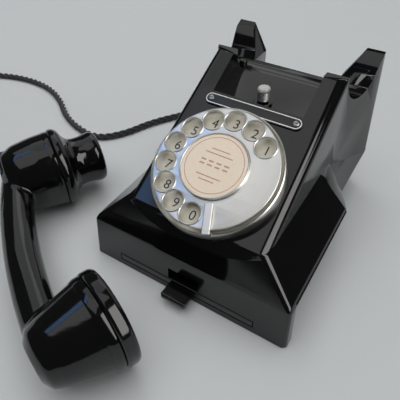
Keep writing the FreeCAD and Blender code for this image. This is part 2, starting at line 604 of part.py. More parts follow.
def make_cord():
    run = [Vector(x, y, z) for x, y, z in [
        (GROMMET_X, 91, GROMMET_Z), (-36, 108, 7.2), (-50, 121, 5), (-74, 122, CORD_Z), (-99, 108, CORD_Z),
        (-117, 84, CORD_Z), (-133, 60, CORD_Z), (-143, 33, CORD_Z), (-160, 14, CORD_Z), (-187, 17, CORD_Z),
        (-213, 27, CORD_Z), (-236, 44, CORD_Z), (-265, 57, CORD_Z), (-300, 59, CORD_Z), (-336, 49, CORD_Z),
        (-366, 28, CORD_Z), (-392, 2, CORD_Z), (-408.9, -29, CORD_Z)]]
    gland = HANDSET.multVec(Vector(GLAND_U, GLAND_V, GLAND_W))
    back = HANDSET.Rotation.multVec(Vector(0, -1, 0))
    lead = [gland + back * 0.3, gland + back * 16, gland + back * 36 - Vector(6, -4, 9)]
    lead += [Vector(x, y, z) for x, y, z in [
        (-228, -110, 8), (-256, -111, CORD_Z), (-286, -107, CORD_Z), (-316, -100, CORD_Z), (-346, -92.5, 6.8),
        (-376, -90.5, 9.2)]]
    coil = ring(COIL_IN, COIL_OUT, 0.2, COIL_H, COIL_AT.x, COIL_AT.y)
    wrap = box(COIL_IN - TIE_T, COIL_OUT + TIE_T, -TIE_HALF, TIE_HALF, 0, COIL_H + TIE_T)
    wrap.rotate(Vector(0, 0, 0), Vector(0, 0, 1), TIE_ANGLE)
    wrap.translate(COIL_AT)
    grommet = fuse([rod_y(GROMMET_R - RUN_GAP, REAR_Y - 4, REAR_Y + 2, GROMMET_X, GROMMET_Z),
                    rod_y(GROMMET_R + 1.5, REAR_Y + 2, REAR_Y + 6, GROMMET_X, GROMMET_Z)])
    return {"handset_cord": cord_tube(run, "handset_cord"), "handset_cord_lead": cord_tube(lead, "lead"),
            "cord_coil": coil, "cord_tie": wrap.cut(coil), "cord_grommet": grommet}


def main():
    os.makedirs("parts", exist_ok=True)
    nodes = {"case_shell": make_case()}
    for maker in (make_base, make_drawer, make_dial, make_button, make_cradle, make_bell, make_electrics,
                  make_handset, make_cord):
        nodes.update(maker())
    for name, shape in nodes.items():
        shape.exportStep("parts/%s.step" % name)
        print(name, shape.isValid(), len(shape.Solids), round(shape.Volume))


main()
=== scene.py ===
import bmesh
import bpy
import json
import math
from contextlib import contextmanager
from mathutils import Matrix, Vector


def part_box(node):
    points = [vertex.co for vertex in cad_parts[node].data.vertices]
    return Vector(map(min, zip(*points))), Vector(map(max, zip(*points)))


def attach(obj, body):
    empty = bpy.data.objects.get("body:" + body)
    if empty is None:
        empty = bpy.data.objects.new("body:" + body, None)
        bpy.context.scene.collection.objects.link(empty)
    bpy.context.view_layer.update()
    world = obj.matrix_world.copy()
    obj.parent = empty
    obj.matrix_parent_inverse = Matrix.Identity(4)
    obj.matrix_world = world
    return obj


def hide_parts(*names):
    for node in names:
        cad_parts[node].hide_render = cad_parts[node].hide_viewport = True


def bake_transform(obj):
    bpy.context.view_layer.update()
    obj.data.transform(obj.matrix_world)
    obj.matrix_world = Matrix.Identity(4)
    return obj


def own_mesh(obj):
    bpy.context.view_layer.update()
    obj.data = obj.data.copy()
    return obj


bl_info = {
    "name": "Dial desk telephone",
    "version": (1, 0, 0),
    "blender": (4, 5, 0),
    "location": "View3D > Sidebar > Telephone",
    "description": "Dresses the desk telephone: moulded case, dial, cord and handset",
    "category": "Object",
}

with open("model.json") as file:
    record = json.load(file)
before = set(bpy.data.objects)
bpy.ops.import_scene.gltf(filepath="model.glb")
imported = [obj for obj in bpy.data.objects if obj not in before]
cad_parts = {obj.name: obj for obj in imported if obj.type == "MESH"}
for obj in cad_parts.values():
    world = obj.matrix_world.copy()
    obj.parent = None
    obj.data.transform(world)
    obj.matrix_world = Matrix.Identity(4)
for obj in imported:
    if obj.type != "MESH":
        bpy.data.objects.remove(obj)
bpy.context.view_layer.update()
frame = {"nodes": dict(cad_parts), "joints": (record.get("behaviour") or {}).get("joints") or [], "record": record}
MM = 0.001
FULL_TURN = 2 * math.pi

# Meshes: how near points merge, how flat faces join, and the bends and creases that count as edges
MERGE = 1e-6
FLAT = math.radians(1.5)
HARD_BEND = math.radians(32)
CHOSEN_BEND = math.radians(18)
SOFT_CREASE = 40
TURNED_CREASE = 38
SPRING_CREASE = 60
TURNED_STEPS = 96
ON_AXIS = 1e-7
EASE_SHARE = 0.45
WIRE_SIDES = 8
WIRE_STEPS = 24
SPRING_TURNS = 6
PLATE_EDGE_STEPS = 3

# Rounding of the pieces that are softened CAD nodes, in millimetres
SOFT_EDGE = {"cord_tie": 0.3, "drawer_tray": 0.5, "drawer_pull": 0.8, "base_pad": 0.3, "cord_grommet": 0.9,
             "finger_stop": 0.5, "button_bush": 0.35, "handset_gland": 0.6, "cradle_plungers": 1.2}
EDGE_STEPS = 3
PLUNGER_EDGE_STEPS = 4
CASE_EDGE_STEPS = 5

# The dial's own axes, read from its hinge: Z out of the panel, Y up its slope
DIAL = next(j for j in frame["joints"] if j["name"] == "dial_turn")
DIAL_OUT = -Vector(DIAL["axis"]).normalized()
DIAL_UP = DIAL_OUT.cross(Vector((1, 0, 0)))
PANEL = Matrix.Translation(Vector(DIAL["pos_m"])) @ Matrix(
    ((1, DIAL_UP.x, DIAL_OUT.x), (0, DIAL_UP.y, DIAL_OUT.y), (0, DIAL_UP.z, DIAL_OUT.z))).to_4x4()
PANEL_TILT = math.atan2(DIAL_UP.z, DIAL_UP.y)

# Finger wheel and its holes, counted counter-clockwise
WHEEL_R = 38 * MM
WHEEL_Z = (10 * MM, 11.4 * MM)
WHEEL_EDGE = 0.35 * MM
WHEEL_STEPS = 128
HOLE_COUNT = 10
HOLE_FIRST = math.radians(43.3)
HOLE_STEP = math.radians(25.2)
HOLE_PITCH_R = 30.7 * MM
HOLE_R = 6.3 * MM
HOLE_SIDES = 48
BEAD_SIDES = 10
BEAD_OUT = 0.8

# Turned pieces of the dial: outlines of (radius, height over the panel), in millimetres
NUMBER_TOP = 6.5
RIM = [(33.5, -22), (35.3, -22), (35.3, 0), (40.5, 0), (40.5, 7.6), (40.2, 8.6), (39.6, 9), (39.1, 8.6),
       (39.1, 5.5), (36, 5.5), (36, 2.5), (33.5, 2.5)]
HUB = [(0, 7.2), (8, 7.2), (8, 10), (0, 10)]
HUB_EASE = 0.3 * MM
BEZEL = [(18.5, 11.4), (21, 11.4), (21, 13.0), (20.4, 13.8), (19.8, 13.6), (19.8, 12.6), (18.5, 12.6)]
BEZEL_EASE = 0.25 * MM
CARD = [(0, 12.6), (19.7, 12.6), (19.7, 13.0), (0, 13.0)]
COVER = [(0, 13.08), (19.7, 13.08), (19.7, 13.5), (0, 13.7)]
COVER_EASE = 0.2 * MM
NUMBER_PLATE = [(9, 5.5), (39, 5.5), (39, NUMBER_TOP), (9, NUMBER_TOP), (9, 5.5)]
NUMBER_PLATE_EASE = 0.15 * MM

# Print on the dial: figures, and the card's rings, lines (half length, height) and dashes in millimetres
FIGURE_SIZE = 8.4 * MM
FIGURE_DEPTH = 0.04 * MM
FIGURE_LIFT = 0.03 * MM
PRINT_Z = (12.99 * MM, 13.05 * MM)
PRINT_EDGE = 0.005 * MM
PRINT_RINGS = (17.8, 17.4)
PRINT_LINES = ((6, 9.4), (9, 6.6), (8, -7.6), (5, -10.2))
LINE_R = 0.32 * MM
DASH_HALF = 1.7 * MM
DASH_R = 0.5 * MM
DASH_X = (-7.5, -2.5, 2.5, 7.5)
DASH_Y = (1.6, 1.6 - 2.6)

# Label plate on the panel, with its white line, two screws and the painted shade of their slots
LABEL_S = 45.6 * MM
LABEL_HALF = 33 * MM
LABEL_R = 4 * MM
LABEL_Z = (0, 1.2 * MM)
LABEL_EDGE = 0.25 * MM
LINE_INSETS = (0.5 * MM, 1.1 * MM)
LINE_Z = (1.18 * MM, 1.30 * MM)
FINE_EDGE = 0.02 * MM
SCREW_X = LABEL_HALF - 4 * MM
SCREW_STEPS = 32
SCREW = [(0, -5), (1.2, -5), (1.2, 1.2), (1.9, 1.2), (1.9, 1.5), (1.4, 1.75), (0.7, 1.86), (0, 1.9)]
SLOT_HALF = 1.4 * MM
SLOT_R = 0.22 * MM
SLOT_Z = (1.7 * MM, 1.94 * MM)

# Call button: outlines in millimetres from its underside up and from its top down, and its stem
BUTTON_UNDER = [(0, 0), (3.6, 0), (4.2, 1.2)]
BUTTON_TOP = [(3.7, -0.8), (2, -0.1), (0, 0)]
BUTTON_EASE = 0.5 * MM
BUTTON_STEPS = 64
STEM_R = 2.5 * MM
STEM_INSIDE = 0.3 * MM
STEM_STEPS = 48

# Springs: CAD node, joint that presses it, and radius of its wire; and the room over one
SPRINGS = (("button_spring", "button_press", 0.5 * MM), ("cradle_spring", "cradle_press", 0.7 * MM))
SPRING_ROOM = 0.05 * MM

# Which of the case's edges are rounded: shortest length, heights of the two ends, and how far back
EDGE_LEAST = 6 * MM
EDGE_FOOT = 35 * MM
EDGE_HEAD = (25 * MM, 56 * MM)
EDGE_REAR = 12 * MM

# The handset's own axes: X from mouthpiece to ear cap, Y the way both caps face
HANDSET_AT = Vector((-71.0, -88.3, 29.0)) * MM
HANDSET_TURN = math.radians(-35.5)
HANDSET = Matrix.Translation(HANDSET_AT) @ Matrix.Rotation(HANDSET_TURN, 4, "Z")
HEAD_U = 70.5 * MM
EAR_TILT = math.radians(14.5)
MOUTH_TILT = math.radians(5.5)
GLAND = Vector((-84, -52, 10)) * MM
GRIP_FLOW = 0.5
GRIP_PASSES = 7

# Turned pieces of the handset, as outlines in millimetres, and rows of sound holes: count, radius, height
CAP_EASE = 1.2 * MM
EAR_CAP = [(0, -8.9), (27.9, -8.9), (29, -7.6), (29, -2.6), (28.1, -0.8), (26.5, -0.2), (23.5, -1.2),
           (14.5, -4.2), (7, -5.2), (0, -5.4)]
MOUTHPIECE = [(0, -8.9), (27.9, -8.9), (29, -7.6), (29, -4.2), (27, -1.6), (21.5, 1), (18.6, 4), (17.8, 8),
              (18, 13), (19, 17.5), (19.4, 20.5), (18.4, 23.6), (16, 24.9), (13.6, 23.6), (12, 19), (11.4, 9),
              (0, 8.6)]
COLLAR = [(25.5, -15.5), (26.9, -15), (27.8, -13), (28.1, -11), (28.1, -9.6), (27.6, -9.1), (25.5, -9.1)]
EAR_HOLES = (7, 5.2, -5.3)
MOUTH_HOLES = (9, 7.5, 8.8)
SOUND_HOLE_R = 0.9 * MM
SOUND_BEAD_R = 0.35 * MM

# Cord route, in millimetres, from the case to the coil and from the coil to the handset
CORD_R = 3 * MM
RUN = [(-35, 91, 8.5), (-36, 108, 7.2), (-50, 121, 5), (-74, 122, 3.2), (-99, 108, 3.2), (-117, 84, 3.2),
       (-133, 60, 3.2), (-143, 33, 3.2), (-160, 14, 3.2), (-187, 17, 3.2), (-213, 27, 3.2), (-236, 44, 3.2),
       (-265, 57, 3.2), (-300, 59, 3.2), (-336, 49, 3.2), (-366, 28, 3.2), (-392, 2, 3.2)]
COIL_AT = (-378, -52)
COIL_START = 143.4
COIL_TURNS = 4.35
COIL_R = 38.5
COIL_STEP = 6.2
LAYER_Z = (3.2, 9.4)
LAYERED_TURNS = 4
CLIMB_START = 1.85
CLIMB_TURNS = 0.3
TURN_POINTS = 16
LEAD = [(-346, -92.5, 6.8), (-316, -100, 3.2), (-286, -107, 3.2), (-256, -111, 3.2), (-228, -110, 8)]
# The lead's last points: how far behind the gland, and how much lower and aside
LEAD_END = [(36, (6, -4, 9)), (16, (0, 0, 0)), (0.3, (0, 0, 0))]
ROUTE_STEPS = 18
ROUTE_ORDER = 3

# The camera, solved from the dial, the label plate, the plinth's corners and the case's straight lines
IMAGE_SIDE = 400.0
FOCAL_PX = 434.6
CAMERA_AT = Vector((95.6, -213.7, 240.1)) * MM
CAMERA_AZ = math.radians(32.3)
CAMERA_EL = math.radians(43.97)
CAMERA_ROLL = math.radians(-0.6)
CLIP_START = 0.005
SENSOR = 36.0

# Floor and the wall round it, in metres
STAGE_STEPS = 64
FLOOR_R = 3.4
COVE_FOOT = 2.4
COVE_R = 0.9
COVE_ANGLES = [math.radians(9 * i) for i in range(11)]
COVE_LIFT = 0.002
WALL_TOP = (3.3, 4.0)
WORLD_STRENGTH = 0.06

# Lamps: name, place, point aimed at, width and depth, radiance, colour and the rays that don't see it.
# The cards are seen only in mirror images.
MIDDLE = (0.03, 0, 0.08)
LAMPS = [
    ("ceiling", (0.1, -0.1, 2.2), (0.1, -0.1, 0), (3.0, 3.0), 1.7, (1.0, 1.0, 1.0), "visible_glossy"),
    ("sky_panel", (-0.92, 0.8, 1.2), (-0.92, 0.8, 0), (1.12, 1.6), 0.65, (0.97, 0.99, 1.0), None),
    ("dial_card", (-0.305, -0.28, 1.2), (-0.305, -0.28, 0), (0.71, 0.86), 0.85, (1.0, 1.0, 1.0),
     "visible_diffuse"),
    ("blue_pane", (-0.84, -0.32, 1.2), (-0.84, -0.32, 0), (0.32, 0.65), 1.8, (0.30, 0.53, 1.0),
     "visible_diffuse"),
    ("rear_card", (-0.2, 2.0, 1.1), MIDDLE, (3.2, 1.9), 0.45, (1.0, 1.0, 1.0), "visible_diffuse"),
    ("side_window", (0.95, -0.12, 0.85), MIDDLE, (0.75, 1.5), 3.8, (1.0, 0.99, 0.97), "visible_diffuse"),
]

# Finishes: colour or the setting that holds it, colour of the specks, least and most roughness, and the
# scale of the smears
MOULDINGS = {
    "black_moulding": ("black", (0.02, 0.02, 0.02), 0.05, 0.13, 45.0),
    "label_black": ((0.006, 0.006, 0.007), (0.03, 0.03, 0.03), 0.2, 0.32, 45.0),
    "ivory": ("ivory", (0.55, 0.50, 0.40), 0.2, 0.36, 90.0),
    "card": ((0.98, 0.81, 0.63), (0.86, 0.68, 0.50), 0.45, 0.65, 140.0),
    "white_button": ((0.52, 0.52, 0.50), (0.40, 0.39, 0.36), 0.15, 0.3, 45.0),
    "white_line": ((0.78, 0.78, 0.76), (0.6, 0.6, 0.57), 0.3, 0.5, 45.0),
    # Dark ink: print of the dial figures, and also the painted shade of the label screws' slots
    "dark_ink": ((0.02, 0.02, 0.022), (0.06, 0.06, 0.06), 0.4, 0.6, 45.0),
    "red_print": ("print_red", (0.5, 0.2, 0.12), 0.5, 0.7, 45.0),
    "rubber": ((0.018, 0.018, 0.018), (0.06, 0.06, 0.06), 0.5, 0.75, 200.0),
    "winding": ((0.28, 0.08, 0.035), (0.16, 0.05, 0.02), 0.25, 0.5, 300.0),
    "board": ((0.16, 0.09, 0.04), (0.1, 0.06, 0.03), 0.35, 0.6, 160.0),
}
METALS = {
    "plain_steel": ((0.48, 0.48, 0.47), (0.30, 0.28, 0.25), 0.28, 0.5, 120.0),
    "brass": ((0.62, 0.45, 0.18), (0.38, 0.25, 0.09), 0.2, 0.42, 120.0),
}
# Relief of a finish: strength and depth of its bump
MOULDED_RELIEF = (0.02, 0.0004)
METAL_RELIEF = (0.03, 0.0003)
RING_RELIEF = (0.05, 0.0002)
THREAD_RELIEF = (0.5, 0.0004)
TARNISH = 0.82
# How much lighter the cord's colour is on the threads' raised bands
RAISED_THREAD_LIGHTER = 3.2


class TelephoneSizes(bpy.types.PropertyGroup):
    """Sizes that give the pieces their softness and grain"""
    case_edge: bpy.props.FloatProperty(
        name="Case edge", description="Radius of the moulded case's edges", default=2.6 * MM,
        subtype="DISTANCE")
    hole_bead: bpy.props.FloatProperty(
        name="Hole bead", description="Radius of the rolled rim round a finger hole", default=0.55 * MM,
        subtype="DISTANCE")
    strand_count: bpy.props.IntProperty(
        name="Strands", description="Strands laid round each other in the cord", default=3, min=2, max=6)
    lay_length: bpy.props.FloatProperty(
        name="Lay length", description="Length of cord in one turn of its strands", default=20 * MM,
        subtype="DISTANCE")
    handset_voxel: bpy.props.FloatProperty(
        name="Handset grain", description="Size of the grid that smooths the handset", default=1.1 * MM,
        subtype="DISTANCE")


class TelephoneColours(bpy.types.PropertyGroup):
    """Colours of the finishes"""
    black: bpy.props.FloatVectorProperty(
        name="Moulding", description="Moulded case and handset", default=(0.0035, 0.0035, 0.0038),
        subtype="COLOR")
    steel: bpy.props.FloatVectorProperty(
        name="Steel", description="Polished finger wheel", default=(0.80, 0.79, 0.76), subtype="COLOR")
    ivory: bpy.props.FloatVectorProperty(
        name="Ivory", description="Number ring", default=(0.60, 0.56, 0.46), subtype="COLOR")
    print_red: bpy.props.FloatVectorProperty(
        name="Print", description="Marks on the centre card", default=(0.50, 0.22, 0.13), subtype="COLOR")
    cotton: bpy.props.FloatVectorProperty(
        name="Cotton", description="Plaited cord", default=(0.010, 0.010, 0.011), subtype="COLOR")
    floor: bpy.props.FloatVectorProperty(
        name="Floor", description="Floor and backdrop", default=(0.62, 0.64, 0.645), subtype="COLOR")


def sizes():
    """The sizes as the scene holds them."""
    return bpy.context.scene.telephone_sizes


def colours():
    """The colours as the scene holds them."""
    return bpy.context.scene.telephone_colours


def rgba(colour):
    """A colour with a full alpha."""
    return (colour[0], colour[1], colour[2], 1.0)


# Node trees

def feed(tree, node, inputs):
    """Give each named input of a node a value, or a link where a socket is given."""
    for label, value in inputs.items():
        if isinstance(value, bpy.types.NodeSocket):
            tree.links.new(value, node.inputs[label])
        else:
            node.inputs[label].default_value = value


def add_node(tree, kind, inputs=None, **settings):
    """A new node with its own settings, and then its inputs."""
    node = tree.nodes.new(kind)
    for label, value in settings.items():
        setattr(node, label, value)
    feed(tree, node, inputs or {})
    return node


def new_group(name, inputs, outputs):
    """A shader group of plain values, with the sockets that it gives its nodes and its output node."""
    group = bpy.data.node_groups.new(name, "ShaderNodeTree")
    for label, value in inputs.items():
        socket = group.interface.new_socket(label, in_out="INPUT", socket_type="NodeSocketFloat")
        socket.default_value = value
    for label in outputs:
        group.interface.new_socket(label, in_out="OUTPUT", socket_type="NodeSocketFloat")
    return group, group.nodes.new("NodeGroupInput").outputs, group.nodes.new("NodeGroupOutput")


def handling_group():
    """Faint cloudy smears and dust specks of a thing that has been handled."""
    if "Handling" in bpy.data.node_groups:
        return bpy.data.node_groups["Handling"]
    group, given, sink = new_group("Handling", {"Scale": 60.0, "Rough low": 0.1, "Rough high": 0.2},
                                   ("Roughness", "Dust", "Height"))
    place = add_node(group, "ShaderNodeTexCoord").outputs["Object"]
    smear = add_node(group, "ShaderNodeTexNoise", {"Vector": place, "Scale": given["Scale"], "Detail": 5.0})
    rough = add_node(group, "ShaderNodeMapRange", {
        "Value": smear.outputs["Fac"], "From Min": 0.3, "From Max": 0.7,
        "To Min": given["Rough low"], "To Max": given["Rough high"]})
    speck = add_node(group, "ShaderNodeTexNoise", {"Vector": place, "Scale": 900.0, "Detail": 2.0})
    dust = add_node(group, "ShaderNodeMapRange", {
        "Value": speck.outputs["Fac"], "From Min": 0.66, "From Max": 0.8})
    feed(group, sink, {"Roughness": rough.outputs["Result"], "Dust": dust.outputs["Result"],
                       "Height": smear.outputs["Fac"]})
    return group


def turned_group():
    """Fine rings left by polishing on a lathe, about the dial's axis."""
    if "Turned rings" in bpy.data.node_groups:
        return bpy.data.node_groups["Turned rings"]
    group, given, sink = new_group("Turned rings", {"Density": 900.0}, ("Rings", "Roughness"))
    place = add_node(group, "ShaderNodeTexCoord").outputs["Object"]
    turn = add_node(group, "ShaderNodeMapping", {
        "Vector": place, "Location": Vector(DIAL["pos_m"]), "Rotation": (PANEL_TILT, 0, 0)},
        vector_type="TEXTURE")
    split = add_node(group, "ShaderNodeSeparateXYZ", {"Vector": turn.outputs["Vector"]})
    flat = add_node(group, "ShaderNodeCombineXYZ", {"X": split.outputs["X"], "Y": split.outputs["Y"]})
    reach = add_node(group, "ShaderNodeVectorMath", {0: flat.outputs["Vector"]}, operation="LENGTH")
    noise = add_node(group, "ShaderNodeTexNoise", {
        "W": reach.outputs["Value"], "Scale": given["Density"], "Detail": 4.0}, noise_dimensions="1D")
    rough = add_node(group, "ShaderNodeMapRange", {
        "Value": noise.outputs["Fac"], "To Min": 0.24, "To Max": 0.40})
    feed(group, sink, {"Rings": noise.outputs["Fac"], "Roughness": rough.outputs["Result"]})
    return group


# Materials

def new_material(name):
    """A material with its node tree and its shader."""
    material = bpy.data.materials.new(name)
    material.use_nodes = True
    return material, material.node_tree, material.node_tree.nodes["Principled BSDF"]


def add_group(tree, group, inputs):
    """The outputs of a shader group that is placed in a material with its own values."""
    return add_node(tree, "ShaderNodeGroup", inputs, node_tree=group).outputs


def add_handling(tree, scale, low=0.1, high=0.2):
    """The outputs of the handling group for one material."""
    return add_group(tree, handling_group(), {"Scale": scale, "Rough low": low, "Rough high": high})


def bumped(tree, height, relief):
    """A normal raised by a height."""
    bump = add_node(tree, "ShaderNodeBump", {"Strength": relief[0], "Distance": relief[1], "Height": height})
    return bump.outputs["Normal"]


def mixed(tree, factor, first, second):
    """A colour between two by a factor; a mix node's colour sockets share names, so they go by number."""
    return add_node(tree, "ShaderNodeMix", {0: factor, 6: rgba(first), 7: rgba(second)},
                    data_type="RGBA").outputs[2]


def handled(name, finish, relief, extra):
    """A moulding or a metal with faint smears and specks."""
    colour, speck, low, high, scale = finish
    if isinstance(colour, str):
        colour = getattr(colours(), colour)
    material, tree, shader = new_material(name)
    wear = add_handling(tree, scale, low, high)
    feed(tree, shader, {"Base Color": mixed(tree, wear["Dust"], colour, speck),
                        "Roughness": wear["Roughness"],
                        "Normal": bumped(tree, wear["Height"], relief), **extra})
    return material


def polished_steel():
    """Bright steel with turning marks."""
    material, tree, shader = new_material("polished_steel")
    rings = add_group(tree, turned_group(), {"Density": 700.0})
    wear = add_handling(tree, 80.0)
    steel = colours().steel
    darker = [TARNISH * part for part in steel]
    feed(tree, shader, {"Base Color": mixed(tree, wear["Dust"], steel, darker), "Metallic": 1.0,
                        "Roughness": rings["Roughness"], "Normal": bumped(tree, rings["Rings"], RING_RELIEF)})
    return material


def clear_window():
    """The thin clear cover of the card."""
    material, tree, shader = new_material("clear_window")
    wear = add_handling(tree, 90.0, 0.03, 0.09)
    feed(tree, shader, {"Base Color": (0.9, 0.9, 0.88, 1), "Alpha": 0.10, "Roughness": wear["Roughness"]})
    return material


def cotton_plait():
    """Cotton with threads that run across the strands' own UV map."""
    material, tree, shader = new_material("cotton_plait")
    place = add_node(tree, "ShaderNodeUVMap").outputs["UV"]
    thread = add_node(tree, "ShaderNodeTexWave", {"Vector": place, "Scale": 9.0, "Distortion": 1.5},
                      bands_direction="DIAGONAL").outputs["Fac"]
    # The colour is lighter on the threads' raised bands, the same bands that the bump raises
    cotton = colours().cotton
    raised_thread_colour = [RAISED_THREAD_LIGHTER * part for part in cotton]
    feed(tree, shader, {"Base Color": mixed(tree, thread, cotton, raised_thread_colour), "Roughness": 0.62,
                        "Sheen Weight": 0.25, "Normal": bumped(tree, thread, THREAD_RELIEF)})
    return material


SPECIAL = {"bright_steel": polished_steel, "window": clear_window, "cord": cotton_plait}
FINISHES = {}


def finish_named(name):
    """The material of a finish, made the first time it is asked for."""
    if name not in FINISHES:
        if name in SPECIAL:
            FINISHES[name] = SPECIAL[name]()
        elif name in METALS:
            FINISHES[name] = handled(name, METALS[name], METAL_RELIEF, {"Metallic": 1.0})
        else:
            FINISHES[name] = handled(name, MOULDINGS[name], MOULDED_RELIEF, {"IOR": 1.55})
    return FINISHES[name]


# Mesh makers

def add_object(name, mesh):
    """An object of a mesh or a curve, in the scene."""
    piece = bpy.data.objects.new(name, mesh)
    bpy.context.scene.collection.objects.link(piece)
    return piece


def dress(piece, finish, body, nodes=()):
    """Give a finished piece its material, body and the CAD nodes that it stands for."""
    piece.data.materials.clear()
    piece.data.materials.append(finish_named(finish))
    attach(piece, body)
    if nodes:
        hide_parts(*nodes)
    return piece


def shade(mesh, angle):
    """Smooth shading that breaks at creases over an angle in degrees."""
    mesh.shade_smooth()
    mesh.set_sharp_from_angle(angle=math.radians(angle))


def evaluated_mesh(piece):
    """A plain mesh of what a piece and its modifiers make."""
    return bpy.data.meshes.new_from_object(piece.evaluated_get(bpy.context.evaluated_depsgraph_get()))


def baked(piece):
    """Apply a piece's modifiers into a plain mesh."""
    mesh = evaluated_mesh(piece)
    piece.modifiers.clear()
    piece.data = mesh
    return piece


def mesh_of(curve):
    """The mesh of a curve or a text, which is removed."""
    maker = add_object(curve.name + "_maker", curve)
    mesh = evaluated_mesh(maker)
    bpy.data.objects.remove(maker)
    bpy.data.curves.remove(curve)
    return mesh


def new_mesh(name, work):
    """A mesh from finished work, which is freed."""
    mesh = bpy.data.meshes.new(name)
    work.to_mesh(mesh)
    work.free()
    return mesh


@contextmanager
def editing(mesh):
    """Open a mesh for work and put the result back into it."""
    work = bmesh.new()
    work.from_mesh(mesh)
    yield work
    work.to_mesh(mesh)
    work.free()


def face_outwards(work):
    """Turn all faces of a closed shape outwards."""
    bmesh.ops.recalc_face_normals(work, faces=work.faces)


def node_copy(node, name):
    """A merged copy of a CAD node's mesh with its flat faces joined."""
    mesh = frame["nodes"][node].data.copy()
    mesh.name = name
    with editing(mesh) as work:
        bmesh.ops.remove_doubles(work, verts=work.verts, dist=MERGE)
        bmesh.ops.dissolve_limit(work, angle_limit=FLAT, verts=work.verts, edges=work.edges)
    return add_object(name, mesh)


def softened(node, name, width, segments=EDGE_STEPS, chosen=None):
    """A CAD node's shape with its hard edges rounded, or only those that a choice takes, to full width."""
    piece = node_copy(node, name)
    least_bend = CHOSEN_BEND if chosen else HARD_BEND
    with editing(piece.data) as work:
        weight = work.edges.layers.float.new("bevel_weight_edge")
        for edge in work.edges:
            if edge.calc_face_angle(0) > least_bend and (chosen is None or chosen(edge)):
                edge[weight] = 1.0
    bevel = piece.modifiers.new("edge", "BEVEL")
    bevel.width = width
    bevel.segments = segments
    bevel.limit_method = "WEIGHT"
    bevel.use_clamp_overlap = chosen is None
    bevel.miter_outer = "MITER_ARC"
    baked(piece)
    shade(piece.data, SOFT_CREASE)
    level = piece.modifiers.new("level", "WEIGHTED_NORMAL")
    level.keep_sharp = True
    return baked(piece)


def soft_piece(node, name, finish, body, segments=EDGE_STEPS):
    """A CAD node's softened copy in its finish, in place of the node."""
    return dress(softened(node, name, SOFT_EDGE[node] * MM, segments), finish, body, [node])


def plinth_edge(edge):
    """Whether a case edge is one of the long ones that meet at the top of the plinth's front part."""
    low, high = sorted(vertex.co.z for vertex in edge.verts)
    rearmost = max(vertex.co.y for vertex in edge.verts)
    return (edge.calc_length() > EDGE_LEAST and low < EDGE_FOOT and EDGE_HEAD[0] < high < EDGE_HEAD[1]
            and rearmost < EDGE_REAR)


def in_metres(outline):
    """An outline in metres from one in millimetres."""
    return [(r * MM, z * MM) for r, z in outline]


def circle(r, x=0.0, y=0.0, steps=64):
    """A round loop."""
    return [(x + r * math.cos(FULL_TURN * i / steps), y + r * math.sin(FULL_TURN * i / steps))
            for i in range(steps)]


def pill(half, r, y, x=0.0, steps=16):
    """A level loop with round ends, by its half length and the radius of its ends."""
    right = [(x + half - r + r * math.sin(math.pi * i / steps), y - r * math.cos(math.pi * i / steps))
             for i in range(steps + 1)]
    left = [(x - half + r - r * math.sin(math.pi * i / steps), y + r * math.cos(math.pi * i / steps))
            for i in range(steps + 1)]
    return right + left


def lathe(name, outline, steps=TURNED_STEPS, place=None, closed=True):
    """Turn a half outline of (radius, height) about Z, closed at both ends where it meets the axis."""
    work = bmesh.new()
    rings = []
    for r, z in outline:
        spots = [(0, 0)] if r < ON_AXIS else circle(r, steps=steps)
        rings.append([work.verts.new((x, y, z)) for x, y in spots])
    pairs = list(zip(rings, rings[1:]))
    if closed and len(rings[0]) > 1:
        pairs.append((rings[-1], rings[0]))
    for low, high in pairs:
        for i in range(steps):
            corners = [low[i % len(low)], low[(i + 1) % len(low)], high[(i + 1) % len(high)],
                       high[i % len(high)]]
            unique = list(dict.fromkeys(corners))
            if len(unique) > 2:
                work.faces.new(unique)
    face_outwards(work)
    mesh = new_mesh(name, work)
    if place is not None:
        mesh.transform(place)
    shade(mesh, TURNED_CREASE)
    return add_object(name, mesh)


def eased(points, radius, steps=4):
    """A lathe's (radius, height) outline with its corners eased."""
    made = [points[0]]
    for before, here, after in zip(points, points[1:], points[2:]):
        into = Vector(here) - Vector(before)
        out = Vector(after) - Vector(here)
        cut = min(radius, into.length * EASE_SHARE, out.length * EASE_SHARE)
        start = Vector(here) - into.normalized() * cut
        end = Vector(here) + out.normalized() * cut
        for i in range(steps + 1):
            t = i / steps
            spot = start * (1 - t) ** 2 + Vector(here) * 2 * t * (1 - t) + end * t ** 2
            made.append((spot.x, spot.y))
    made.append(points[-1])
    return made


def join_rings(work, near, far):
    """Faces between two rings of a tube, in order round them."""
    after = [(k + 1) % len(near) for k in range(len(near))]
    return [work.faces.new((near[k], far[k], far[after[k]], near[after[k]])) for k in range(len(near))]


def wound_spring(name, low, high, wire, turns=SPRING_TURNS):
    """A wire wound between the ends of a box, with closed ends."""
    middle = (low + high) / 2
    reach = (high.x - low.x) / 2 - wire
    round_wire = [(math.cos(FULL_TURN * k / WIRE_SIDES), math.sin(FULL_TURN * k / WIRE_SIDES))
                  for k in range(WIRE_SIDES)]
    work = bmesh.new()
    rings = []
    for i in range(WIRE_STEPS * turns + 1):
        angle = FULL_TURN * i / WIRE_STEPS
        outward = Vector((math.cos(angle), math.sin(angle), 0))
        rise = low.z + wire + (high.z - low.z - 2 * wire) * i / (WIRE_STEPS * turns)
        spot = Vector((middle.x, middle.y, rise))
        rings.append([work.verts.new(spot + outward * (reach + wire * out) + Vector((0, 0, wire * up)))
                      for out, up in round_wire])
    for near, far in zip(rings, rings[1:]):
        join_rings(work, near, far)
    work.faces.new(rings[0])
    work.faces.new(rings[-1][::-1])
    face_outwards(work)
    mesh = new_mesh(name, work)
    shade(mesh, SPRING_CREASE)
    return add_object(name, mesh)


